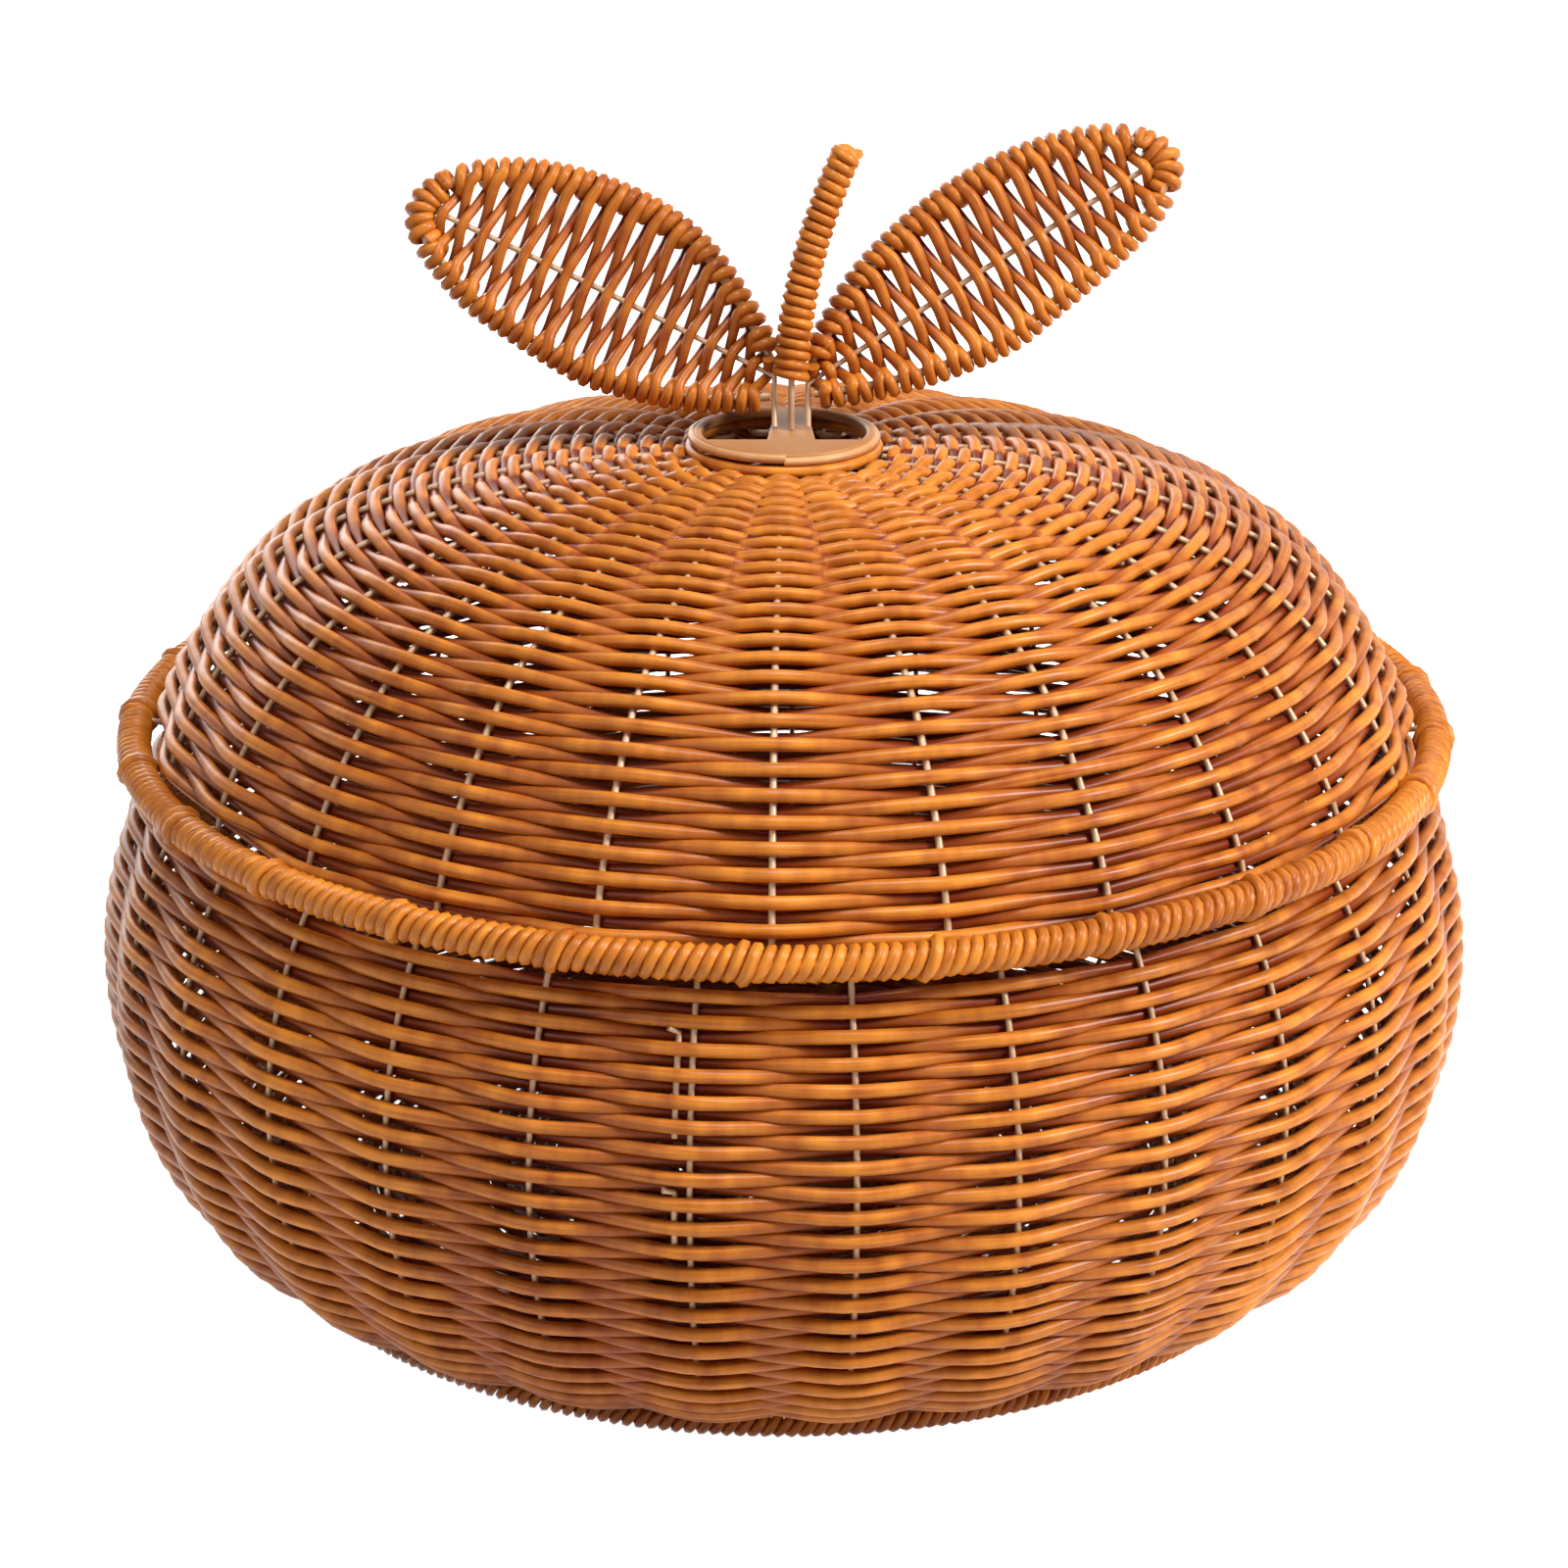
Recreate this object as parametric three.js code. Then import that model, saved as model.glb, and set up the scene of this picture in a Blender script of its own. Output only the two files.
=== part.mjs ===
// A round lidded basket in the shape of an apple: plastic cane woven on wire stakes,
// a bowl on a wrapped foot ring, and a domed lid that lifts off by its wrapped stem and two leaves.
// Millimetres, +Z up. The origin is the middle of the foot ring's underside, and the front faces -Y.

import * as THREE from 'three';
import { mergeVertices } from 'three/addons/utils/BufferGeometryUtils.js';

const DEG = Math.PI / 180;
const TURN = 2 * Math.PI;

// Stock: canes, wires and the gap between pieces that touch.
const seat = 0.3;
const stakeRadius = 0.9;
const ribbonThickness = 2.2;
const stakeClearance = 0.6;
const courseGap = 0.6;
const weaverTip = 2;
const stakeSides = 4;
const wireSides = 5;
const ringSegments = 30;
const boreSides = 5;
const slotHalfWidth = 1.5;

// Lid rim, which sets the size of the whole basket.
const lidRimRadius = 137.2;
const lidRimWireRadius = 1.8;
const lidRimWrapRadius = 4.3;
const lidRimSlotAngle = 158 * DEG;
const lidRimWrapPoints = 7;

// Bowl: rim, belly and foot.
const rimOverhang = 6.6;
const bowlRimHeight = 106.4;
const bowlRimWireRadius = 1.2;
const bowlRimWrapRadius = 3.7;
const bowlRimSlotAngle = -60 * DEG;
const bowlRimWrapPoints = 6;
const bowlShoulderReach = 6.8;
const bowlShoulderDrop = 11;
const bellyRadius = 143.2;
const bellyHeight = 63;
const bellyPullUp = 17;
const bellyPullDown = 28;
const footBendReach = 17;
const footBendRise = 1.5;
const footRadius = 112;
const footWireRadius = 1.2;
const footWrapRadius = 3.4;
const footWrapPoints = 6;
const footSlotAngle = 90 * DEG;
const bowlStakePairs = 14;
const bowlStakes = 2 * bowlStakePairs + 1;
const bowlFirstStake = 89.2 * DEG;
const bowlCourses = 10;
const bowlFootGap = 4.5;
const bowlRimGap = 4;
const baseCourses = 4;
const baseFootGap = 4.5;
const baseHubGap = 2;
const baseHubRadius = 24.5;
const basePlateThickness = 3;

// Lid: crown, shoulder and hub.
const crownReach = 30;
const crownRise = 1.3;
const shoulderRadius = 104;
const shoulderRise = 38.6;
const shoulderInReach = 18;
const shoulderInRise = 11.5;
const shoulderOutReach = 9;
const shoulderOutDrop = 5.8;
const lidSideReach = 3.6;
const lidSideRise = 12.6;
const lidRimTurnGap = 2.8;
const hubRise = 57.3;
const lidStakePairs = 12;
const lidStakes = 2 * lidStakePairs + 1;
const lidFirstStake = 96.2 * DEG;
const lidCourses = 11;
const lidHubGap = 4;
const lidRimGap = 0.5;
const hubStakeRadius = 20.2;
const hubPlateRadius = 19.8;
const hubPlateThickness = 4.2;
const hubRingWidth = 2;
const windowFront = -6;
const bridgeFrontHalf = 4.9;
const bridgeBackHalf = 3.8;
const bridgeOffset = 1.5;
const windowArcSteps = 10;
const closingCaneRadius = 1.25;

// Stem and leaves, measured from the top of the hub plate.
const stemWireRadius = 1.6;
const stemFootRise = 11.4;
const stemRise = 59.1;
const stemReach = 11.6;
const stemBow = 1.5;
const stemBowRise = 35.5;
const stemSpans = 6;
const stemWrapLoops = 22;
const stemWrapStart = 0.02;
const stemWrapShare = 0.95;
const stemCaneRadius = 0.8;
const stemLoopSteps = 8;
const leafLean = 20 * DEG;
const leafWireRadius = 1.1;
const leafWireSpacing = 3.5;
const leafPasses = 14;
const leafWeaveStart = 0.05;
const leafWeaveShare = 0.91;
const leafRibbonThickness = 1.9;
const leafClearance = 0.4;
const leafEdgeSteps = 20;
const leafEdgeStart = 0.03;
const midribBend = 0.3;
const midribEnd = 0.97;
const leftLeafLength = 84;
const leftLeafHalfWidth = 20;
const leftLeafAngle = 26 * DEG;
const leftLeafStart = 10.5;
const rightLeafLength = 93;
const rightLeafHalfWidth = 19;
const rightLeafAngle = 32.5 * DEG;
const rightLeafStart = 9;

const orange = { color: 0xc9752c, roughness: 0.5, metalness: 0 };
const tan = { color: 0xc98f5e, roughness: 0.5, metalness: 0 };
const pale = { color: 0xd9b890, roughness: 0.4, metalness: 0.2 };

const basket = new THREE.Group();
const bowl = new THREE.Group();
const lid = new THREE.Group();
basket.add(bowl, lid);

function addPiece(group, name, geometry, look) {
  const mesh = new THREE.Mesh(geometry, new THREE.MeshStandardMaterial(look));
  mesh.name = name;
  group.add(mesh);
}

// Six times the volume inside a skin of triangles, negative where the faces point in.
function signedVolume(corners, faces) {
  let sum = 0;
  for (let i = 0; i < faces.length; i += 3) {
    const [a, b, c] = [corners[faces[i]], corners[faces[i + 1]], corners[faces[i + 2]]];
    sum += a.dot(new THREE.Vector3().crossVectors(b, c));
  }
  return sum;
}

// Joins equal rings of corners into one closed skin with flat ends.
function loft(rings) {
  const sides = rings[0].length;
  const corners = rings.flat();
  const faces = [];
  const spans = rings.length - 1;
  for (let i = 0; i < spans; i++) {
    const here = i * sides;
    const next = here + sides;
    for (let j = 0; j < sides; j++) {
      const k = (j + 1) % sides;
      faces.push(here + j, here + k, next + k, here + j, next + k, next + j);
    }
  }
  const end = spans * sides;
  for (let j = 1; j < sides - 1; j++) {
    faces.push(0, j + 1, j, end, end + j, end + j + 1);
  }
  if (signedVolume(corners, faces) < 0) faces.reverse();
  const geometry = new THREE.BufferGeometry();
  const positions = corners.flatMap((corner) => corner.toArray());
  geometry.setAttribute('position', new THREE.Float32BufferAttribute(positions, 3));
  geometry.setIndex(faces);
  return geometry;
}

// A flat strip: each frame has a centre, a direction through its thickness, one across it and a width.
function strip(frames, thickness) {
  const signs = [[-1, -1], [1, -1], [1, 1], [-1, 1]];
  return loft(frames.map(({ centre, through, across, width }) => signs.map(([t, w]) => centre.clone()
    .addScaledVector(through, (t * thickness) / 2)
    .addScaledVector(across, (w * width) / 2))));
}

// A wire through points, each with a direction that its section keeps level with. A spin of 0 puts
// a corner of the section on that direction, and one of 0.5 a flat.
function wire(points, ups, radius, sides, spin = 0.5) {
  const count = points.length;
  return loft(points.map((point, i) => {
    const before = points[Math.max(i - 1, 0)];
    const after = points[Math.min(i + 1, count - 1)];
    const travel = after.clone().sub(before).normalize();
    const beside = new THREE.Vector3().crossVectors(travel, ups[i]).normalize();
    const up = new THREE.Vector3().crossVectors(beside, travel);
    return Array.from({ length: sides }, (_, j) => {
      const angle = ((j + spin) / sides) * TURN;
      return point.clone()
        .addScaledVector(up, radius * Math.cos(angle))
        .addScaledVector(beside, radius * Math.sin(angle));
    });
  }));
}

// How far the flats of a faceted ring lie inside its true radius.
function flatDepth(radius) {
  return radius * (1 - Math.cos(Math.PI / ringSegments));
}

// A point of the basket's half section, turned to an angle round its axis.
function around(section, angle) {
  return new THREE.Vector3(section.x * Math.cos(angle), section.x * Math.sin(angle), section.y);
}

// Revolves a closed half section into a ring.
function ring(section) {
  const profile = [...section, section[0]];
  const geometry = new THREE.LatheGeometry(profile, ringSegments);
  geometry.rotateX(90 * DEG);
  geometry.deleteAttribute('normal');
  geometry.deleteAttribute('uv');
  return mergeVertices(geometry, 0.001);
}

function circle(centre, radius, sides) {
  return Array.from({ length: sides }, (_, i) => {
    const angle = (i / sides) * TURN;
    return new THREE.Vector2(centre.x + radius * Math.cos(angle), centre.y + radius * Math.sin(angle));
  });
}

// The wrapped cane round a ring wire: a ring of C section, open along the line where the stakes come in.
function wrapSection(centre, wireRadius, wrapRadius, slotAngle, points) {
  const mouth = Math.asin(slotHalfWidth / wrapRadius);
  const outer = Array.from({ length: points }, (_, i) => {
    const angle = slotAngle + mouth + ((TURN - 2 * mouth) * i) / (points - 1);
    return new THREE.Vector2(wrapRadius * Math.cos(angle), wrapRadius * Math.sin(angle));
  });
  const bore = (wireRadius + seat) / Math.cos(TURN / 2 / boreSides);
  const throat = Math.asin(slotHalfWidth / bore);
  const inner = Array.from({ length: boreSides }, (_, i) => {
    const angle = slotAngle - throat - ((TURN - 2 * throat) * i) / (boreSides - 1);
    return new THREE.Vector2(bore * Math.cos(angle), bore * Math.sin(angle));
  });
  return [...outer, ...inner].map((point) => point.add(centre));
}

// Stakes of the bowl run out along the base, turn up over the foot ring, follow the belly
// and end in the rim.
const bowlRimCentre = new THREE.Vector2(lidRimRadius - rimOverhang, bowlRimHeight);
const footFlat = (TURN - 2 * Math.asin(slotHalfWidth / footWrapRadius)) / (footWrapPoints - 1) / 2;
const footCentre = new THREE.Vector2(footRadius, footWrapRadius * Math.cos(footFlat));
const baseHeight = footCentre.y + footWrapRadius + seat + stakeRadius;
const bowlStakeEnd = new THREE.Vector2(Math.cos(bowlRimSlotAngle), Math.sin(bowlRimSlotAngle))
  .multiplyScalar(bowlRimWireRadius + seat + flatDepth(lidRimRadius - rimOverhang))
  .add(bowlRimCentre);

const basePath = new THREE.CurvePath();
basePath.add(new THREE.LineCurve(
  new THREE.Vector2(baseHubRadius, baseHeight),
  new THREE.Vector2(footRadius, baseHeight),
));
const bowlPath = new THREE.CurvePath();
bowlPath.add(new THREE.CubicBezierCurve(
  new THREE.Vector2(footRadius, baseHeight),
  new THREE.Vector2(footRadius + footBendReach, baseHeight + footBendRise),
  new THREE.Vector2(bellyRadius, bellyHeight - bellyPullDown),
  new THREE.Vector2(bellyRadius, bellyHeight),
));
bowlPath.add(new THREE.CubicBezierCurve(
  new THREE.Vector2(bellyRadius, bellyHeight),
  new THREE.Vector2(bellyRadius, bellyHeight + bellyPullUp),
  bowlStakeEnd.clone().add(new THREE.Vector2(bowlShoulderReach, -bowlShoulderDrop)),
  bowlStakeEnd,
));

// Stakes of the lid run from under the hub plate over the shoulder and turn out into the lid's rim.
const rimReach = bowlRimWrapRadius + lidRimWrapRadius + seat;
const lidRimHeight = bowlRimHeight + Math.sqrt(rimReach ** 2 - rimOverhang ** 2);
const lidRimCentre = new THREE.Vector2(lidRimRadius, lidRimHeight);
const lidSlot = new THREE.Vector2(Math.cos(lidRimSlotAngle), Math.sin(lidRimSlotAngle));
const lidStakeTurn = lidSlot.clone().multiplyScalar(lidRimWrapRadius + lidRimTurnGap).add(lidRimCentre);
const lidStakeEnd = lidSlot.clone()
  .multiplyScalar(lidRimWireRadius + seat + flatDepth(lidRimRadius))
  .add(lidRimCentre);
const hubStakeHeight = lidRimHeight + hubRise;
const shoulder = new THREE.Vector2(shoulderRadius, lidRimHeight + shoulderRise);

const lidPath = new THREE.CurvePath();
lidPath.add(new THREE.CubicBezierCurve(
  new THREE.Vector2(hubStakeRadius, hubStakeHeight),
  new THREE.Vector2(hubStakeRadius + crownReach, hubStakeHeight + crownRise),
  new THREE.Vector2(shoulderRadius - shoulderInReach, shoulder.y + shoulderInRise),
  shoulder,
));
lidPath.add(new THREE.CubicBezierCurve(
  shoulder,
  new THREE.Vector2(shoulderRadius + shoulderOutReach, shoulder.y - shoulderOutDrop),
  lidStakeTurn.clone().add(new THREE.Vector2(-lidSideReach, lidSideRise)),
  lidStakeTurn,
));

// The unit direction out of the wall at a fraction of a path, square to it in the half section.
function outward(path, fraction, sign) {
  const tangent = path.getTangent(fraction);
  return new THREE.Vector2(tangent.y, -tangent.x).multiplyScalar(sign);
}

// The passes of one ribbon woven in a spiral, in front of one stake and behind the next. The odd count
// of stakes makes each turn take the other side of every stake than the turn before it. The ribbon widens
// from a tip over its first turn and narrows over its last, so both edges of the wall are level.
function passesOn(path, stakes, courses, skipStart, skipEnd) {
  const length = path.getLength();
  const pitch = (length - skipStart - skipEnd) / courses;
  const tipTurns = (weaverTip + courseGap) / pitch;
  const first = Math.ceil(tipTurns * stakes);
  const last = Math.floor((courses + 1 - tipTurns) * stakes);
  const passes = [];
  for (let k = first; k <= last; k++) {
    const lower = pitch * Math.max(k / stakes - 1, 0);
    const upper = pitch * Math.min(k / stakes, courses);
    passes.push({
      stake: k % stakes,
      turns: k / stakes,
      side: k % 2 === 0 ? 1 : -1,
      fraction: (skipStart + (lower + upper) / 2) / length,
      reach: pitch / length,
      width: upper - lower - courseGap,
    });
  }
  return passes;
}

// The ribbon itself. Where the wall bends, the flat ribbon stands off by as much as the stake
// bows under it.
function weaver(path, sign, passes, firstStake) {
  const standOff = stakeRadius + stakeClearance + ribbonThickness / 2;
  return strip(passes.map(({ turns, side, fraction, reach, width }) => {
    const angle = firstStake + turns * TURN;
    const out = outward(path, fraction, sign);
    const middle = path.getPoint(fraction);
    const bows = [Math.max(fraction - reach, 0), Math.min(fraction + reach, 1)]
      .map((neighbour) => (side * path.getPoint(neighbour).sub(middle).dot(out)) / 2);
    const centre = middle.addScaledVector(out, side * (standOff + Math.max(0, ...bows)));
    return {
      centre: around(centre, angle),
      through: around(out, angle),
      across: around(path.getTangent(fraction), angle),
      width,
    };
  }), ribbonThickness);
}

// One leg of a stake, from its rim to the hub, with a point wherever the ribbon crosses it.
function stakeLeg(path, sign, passes, index, angle, rimEnd, hubEnd) {
  const crossings = passes.filter(({ stake }) => stake === index).map(({ fraction }) => fraction);
  const stations = [1, ...crossings.reverse(), 0].map((fraction) => ({
    point: path.getPoint(fraction),
    out: outward(path, fraction, sign),
  }));
  const all = [...rimEnd, ...stations, ...hubEnd];
  return {
    points: all.map(({ point }) => around(point, angle)),
    ups: all.map(({ out }) => around(out, angle)),
    hub: all.at(-1).point,
  };
}

// A wire bent like a hairpin makes two neighbouring stakes, joined by a round bend at the hub.
function hairpin(first, second, angle, step) {
  const up = first.ups.at(-1);
  const bendRadius = first.hub.x * Math.sin(step / 2);
  const middle = around(new THREE.Vector2(first.hub.x * Math.cos(step / 2), first.hub.y), angle + step / 2);
  const inward = around(new THREE.Vector2(-1, 0), angle + step / 2);
  const sideways = around(new THREE.Vector2(1, 0), angle + step / 2 + 90 * DEG);
  const bend = [120, 60].map((turn) => middle.clone()
    .addScaledVector(inward, bendRadius * Math.sin(turn * DEG))
    .addScaledVector(sideways, bendRadius * Math.cos(turn * DEG)));
  return wire(
    [...first.points, ...bend, ...second.points.reverse()],
    [...first.ups, up, up, ...second.ups.reverse()],
    stakeRadius,
    stakeSides,
  );
}

// All stakes of one wall: hairpins side by side, and one single wire that makes the count odd.
function addStakes(group, name, path, sign, passes, pairs, firstStake, rimEnd, hubEnd) {
  const stakes = 2 * pairs + 1;
  const step = TURN / stakes;
  for (let i = 0; i < stakes; i += 2) {
    const [leg, next] = [i, i + 1].map((index) => stakeLeg(
      path, sign, passes, index, firstStake + index * step, rimEnd, hubEnd,
    ));
    const geometry = i + 1 < stakes
      ? hairpin(leg, next, firstStake + i * step, step)
      : wire(leg.points, leg.ups, stakeRadius, stakeSides);
    addPiece(group, `${name}_${String(i / 2 + 1).padStart(2, '0')}`, geometry, pale);
  }
}

// Bowl
const bowlPasses = passesOn(bowlPath, bowlStakes, bowlCourses, bowlFootGap, bowlRimGap);
const basePasses = passesOn(basePath, bowlStakes, baseCourses, baseHubGap, baseFootGap);
const baseEnd = { point: basePath.getPoint(0), out: outward(basePath, 0, 1) };
addStakes(
  bowl, 'bowl_stake_wire', bowlPath, 1, bowlPasses, bowlStakePairs, bowlFirstStake, [], [baseEnd],
);
addPiece(bowl, 'bowl_weaver', weaver(bowlPath, 1, bowlPasses, bowlFirstStake), orange);
addPiece(bowl, 'base_weaver', weaver(basePath, 1, basePasses, bowlFirstStake), orange);
const basePlate = new THREE.CylinderGeometry(
  baseHubRadius, baseHubRadius, basePlateThickness, ringSegments,
);
basePlate.rotateX(90 * DEG);
basePlate.translate(0, 0, baseHeight + stakeRadius + seat + basePlateThickness / 2);
addPiece(bowl, 'base_centre_plate', basePlate, tan);
addPiece(bowl, 'foot_ring_wire', ring(circle(footCentre, footWireRadius, wireSides)), pale);
addPiece(bowl, 'foot_ring_wrap', ring(
  wrapSection(footCentre, footWireRadius, footWrapRadius, footSlotAngle, footWrapPoints),
), orange);
addPiece(bowl, 'bowl_rim_wire', ring(circle(bowlRimCentre, bowlRimWireRadius, wireSides)), pale);
addPiece(bowl, 'bowl_rim_wrap', ring(
  wrapSection(bowlRimCentre, bowlRimWireRadius, bowlRimWrapRadius, bowlRimSlotAngle, bowlRimWrapPoints),
), orange);

// Lid shell
const lidPasses = passesOn(lidPath, lidStakes, lidCourses, lidHubGap, lidRimGap);
const lidEnd = { point: lidStakeEnd, out: outward(lidPath, 1, -1) };
addStakes(
  lid, 'lid_stake_wire', lidPath, -1, lidPasses, lidStakePairs, lidFirstStake, [lidEnd], [],
);
addPiece(lid, 'lid_weaver', weaver(lidPath, -1, lidPasses, lidFirstStake), orange);
addPiece(lid, 'lid_rim_wire', ring(circle(lidRimCentre, lidRimWireRadius, wireSides)), pale);
addPiece(lid, 'lid_rim_wrap', ring(
  wrapSection(lidRimCentre, lidRimWireRadius, lidRimWrapRadius, lidRimSlotAngle, lidRimWrapPoints),
), orange);

// Hub: a plate with two windows beside a bridge, and the closing ring of cane round its edge.
const hubPlateBottom = hubStakeHeight + stakeRadius + seat;
const hubTop = hubPlateBottom + hubPlateThickness;
const windowRadius = hubPlateRadius - hubRingWidth;

function hubWindow(side) {
  const frontX = bridgeOffset + side * bridgeFrontHalf;
  const backX = bridgeOffset + side * bridgeBackHalf;
  const backAngle = Math.acos(backX / windowRadius);
  const rightAngle = Math.asin(windowFront / windowRadius);
  const frontAngle = side > 0 ? rightAngle : Math.PI - rightAngle;
  const hole = new THREE.Path();
  hole.moveTo(frontX, windowFront);
  hole.lineTo(windowRadius * Math.cos(frontAngle), windowFront);
  hole.absarc(0, 0, windowRadius, frontAngle, backAngle, side < 0);
  hole.closePath();
  return hole;
}

const plate = new THREE.Shape();
plate.absarc(0, 0, hubPlateRadius, 0, TURN);
plate.holes.push(hubWindow(1), hubWindow(-1));
const hubPlate = new THREE.ExtrudeGeometry(plate, {
  depth: hubPlateThickness,
  bevelEnabled: false,
  curveSegments: windowArcSteps,
});
hubPlate.translate(0, 0, hubPlateBottom);
addPiece(lid, 'hub_plate', hubPlate, tan);
const closingCentre = new THREE.Vector2(
  hubPlateRadius + seat + closingCaneRadius,
  hubPlateBottom + closingCaneRadius,
);
addPiece(lid, 'hub_closing_cane', ring(circle(closingCentre, closingCaneRadius, wireSides)), tan);

// Stem: a wire that stands on the bridge and curves to the right, and the cane wound round it.
const front = new THREE.Vector3(0, -1, 0);
const stemFoot = new THREE.Vector3(bridgeOffset, 0, hubTop + seat);
const stemNeck = new THREE.Vector3(bridgeOffset, 0, hubTop + stemFootRise);
const stemTop = new THREE.Vector3(bridgeOffset + stemReach, 0, hubTop + stemRise);
const stemCurve = new THREE.QuadraticBezierCurve3(
  stemNeck,
  new THREE.Vector3(bridgeOffset + stemBow, 0, hubTop + stemBowRise),
  stemTop,
);
const stemPoints = [stemFoot, ...stemCurve.getSpacedPoints(stemSpans)];
addPiece(lid, 'stem_wire', wire(stemPoints, stemPoints.map(() => front), stemWireRadius, 6), pale);

const stemWrapRadius = stemWireRadius + seat + stemCaneRadius;
const stemWrapPath = Array.from({ length: stemWrapLoops * stemLoopSteps + 1 }, (_, i) => {
  const fraction = i / (stemWrapLoops * stemLoopSteps);
  const along = stemWrapStart + stemWrapShare * fraction;
  const tangent = stemCurve.getTangentAt(along);
  const beside = new THREE.Vector3().crossVectors(tangent, front).normalize();
  const angle = fraction * stemWrapLoops * TURN;
  return {
    point: stemCurve.getPointAt(along)
      .addScaledVector(front, stemWrapRadius * Math.cos(angle))
      .addScaledVector(beside, stemWrapRadius * Math.sin(angle)),
    up: tangent,
  };
});
addPiece(lid, 'stem_wrap', wire(
  stemWrapPath.map(({ point }) => point),
  stemWrapPath.map(({ up }) => up),
  stemCaneRadius,
  4,
), orange);

// The least gap between one turn of the stem's cane and the turns above it, on the points of its path.
let stemGap = Infinity;
stemWrapPath.forEach(({ point }, i) => {
  stemWrapPath.slice(i + stemLoopSteps - 2).forEach((other) => {
    stemGap = Math.min(stemGap, point.distanceTo(other.point) - 2 * stemCaneRadius);
  });
});
console.log(`least gap between turns of the stem's cane: ${stemGap.toFixed(2)} mm`);

// Leaves: an edge wire and a midrib in one leaning plane, with a ribbon woven to and fro over the three.
const rise = new THREE.Vector3(0, Math.sin(leafLean), Math.cos(leafLean));
const face = new THREE.Vector3(0, -Math.cos(leafLean), Math.sin(leafLean));

function leafHalfWidth(leaf, fraction) {
  return leaf.halfWidth * Math.sqrt(Math.sin(Math.PI * fraction));
}

function addLeaf(leaf) {
  const axis = new THREE.Vector3(leaf.side * Math.cos(leaf.angle), 0, 0)
    .addScaledVector(rise, Math.sin(leaf.angle));
  const across = new THREE.Vector3().crossVectors(face, axis).multiplyScalar(leaf.side);
  const footLift = seat + leafWireRadius * Math.sin(leafLean);
  const foot = new THREE.Vector3(bridgeOffset + leaf.side * leafWireSpacing, 0, hubTop + footLift);
  const root = foot.clone().addScaledVector(rise, leaf.start);
  const at = (u, w, lift = 0) => root.clone()
    .addScaledVector(axis, u).addScaledVector(across, w).addScaledVector(face, lift);

  const edge = Array.from({ length: leafEdgeSteps + 1 }, (_, i) => {
    const fraction = leafEdgeStart + (1 - leafEdgeStart) * Math.sin((Math.PI * i) / leafEdgeSteps);
    const side = i < leafEdgeSteps / 2 ? 1 : -1;
    const width = i === leafEdgeSteps / 2 ? 0 : side * leafHalfWidth(leaf, fraction);
    return at(leaf.length * fraction, width);
  });
  const edgeWire = wire(edge, edge.map(() => face), leafWireRadius, 4, 0);
  addPiece(lid, `${leaf.name}_leaf_edge_wire`, edgeWire, pale);

  const rib = [foot, root, at(leaf.length * midribBend, 0), at(leaf.length * midribEnd, 0)];
  const ribWire = wire(rib, rib.map(() => face), leafWireRadius, 4, 0);
  addPiece(lid, `${leaf.name}_leaf_midrib`, ribWire, pale);

  const lift = leafWireRadius + leafClearance + leafRibbonThickness / 2;
  const pitch = (leaf.length * leafWeaveShare) / leafPasses;
  const width = pitch - courseGap;
  const widths = (u) => [u - pitch / 2, u + pitch / 2]
    .map((end) => leafHalfWidth(leaf, end / leaf.length))
    .sort((a, b) => a - b);
  const frames = [];
  for (let i = 0; i < leafPasses; i++) {
    const u = leaf.length * leafWeaveStart + pitch * (i + 0.5);
    const side = i % 2 === 0 ? 1 : -1;
    const [narrow, wide] = widths(u);
    const through = face.clone().multiplyScalar(side);
    [-wide, -narrow, 0, narrow, wide].forEach((reach) => {
      const over = reach === 0 ? -side : side;
      frames.push({ centre: at(u, side * reach, over * lift), through, across: axis, width });
    });
    if (i < leafPasses - 1) {
      const turn = widths(u + pitch / 2)[1] + lift;
      const outer = across.clone().multiplyScalar(side);
      frames.push({ centre: at(u + pitch / 2, side * turn), through: outer, across: axis, width });
    }
  }
  addPiece(lid, `${leaf.name}_leaf_weave`, strip(frames, leafRibbonThickness), orange);
}

addLeaf({
  name: 'left',
  side: -1,
  length: leftLeafLength,
  halfWidth: leftLeafHalfWidth,
  angle: leftLeafAngle,
  start: leftLeafStart,
});
addLeaf({
  name: 'right',
  side: 1,
  length: rightLeafLength,
  halfWidth: rightLeafHalfWidth,
  angle: rightLeafAngle,
  start: rightLeafStart,
});

export default basket;
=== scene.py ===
from functools import partial
from math import cos, pi, radians, sin, sqrt, tau

import bpy
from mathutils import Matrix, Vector


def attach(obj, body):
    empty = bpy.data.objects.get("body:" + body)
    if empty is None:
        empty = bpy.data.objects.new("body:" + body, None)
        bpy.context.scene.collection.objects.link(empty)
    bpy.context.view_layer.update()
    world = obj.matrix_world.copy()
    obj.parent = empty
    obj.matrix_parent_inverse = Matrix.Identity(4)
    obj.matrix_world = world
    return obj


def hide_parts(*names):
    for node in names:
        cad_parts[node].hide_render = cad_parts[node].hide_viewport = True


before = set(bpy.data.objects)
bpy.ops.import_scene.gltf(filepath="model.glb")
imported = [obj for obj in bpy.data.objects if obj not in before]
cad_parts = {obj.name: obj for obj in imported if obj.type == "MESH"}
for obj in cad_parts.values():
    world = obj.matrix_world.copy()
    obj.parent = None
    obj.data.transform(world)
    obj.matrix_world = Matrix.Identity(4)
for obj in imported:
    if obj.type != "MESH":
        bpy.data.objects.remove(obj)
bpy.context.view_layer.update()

mm = 0.001

# Studio
# A white sweep in a soft-lit room: a large lamp at the right front above the basket, a weaker one
# at the left, one overhead and one behind. The camera looks down at the lid from a little above it.
scene = bpy.context.scene
scene.view_settings.view_transform = "Standard"


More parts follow.
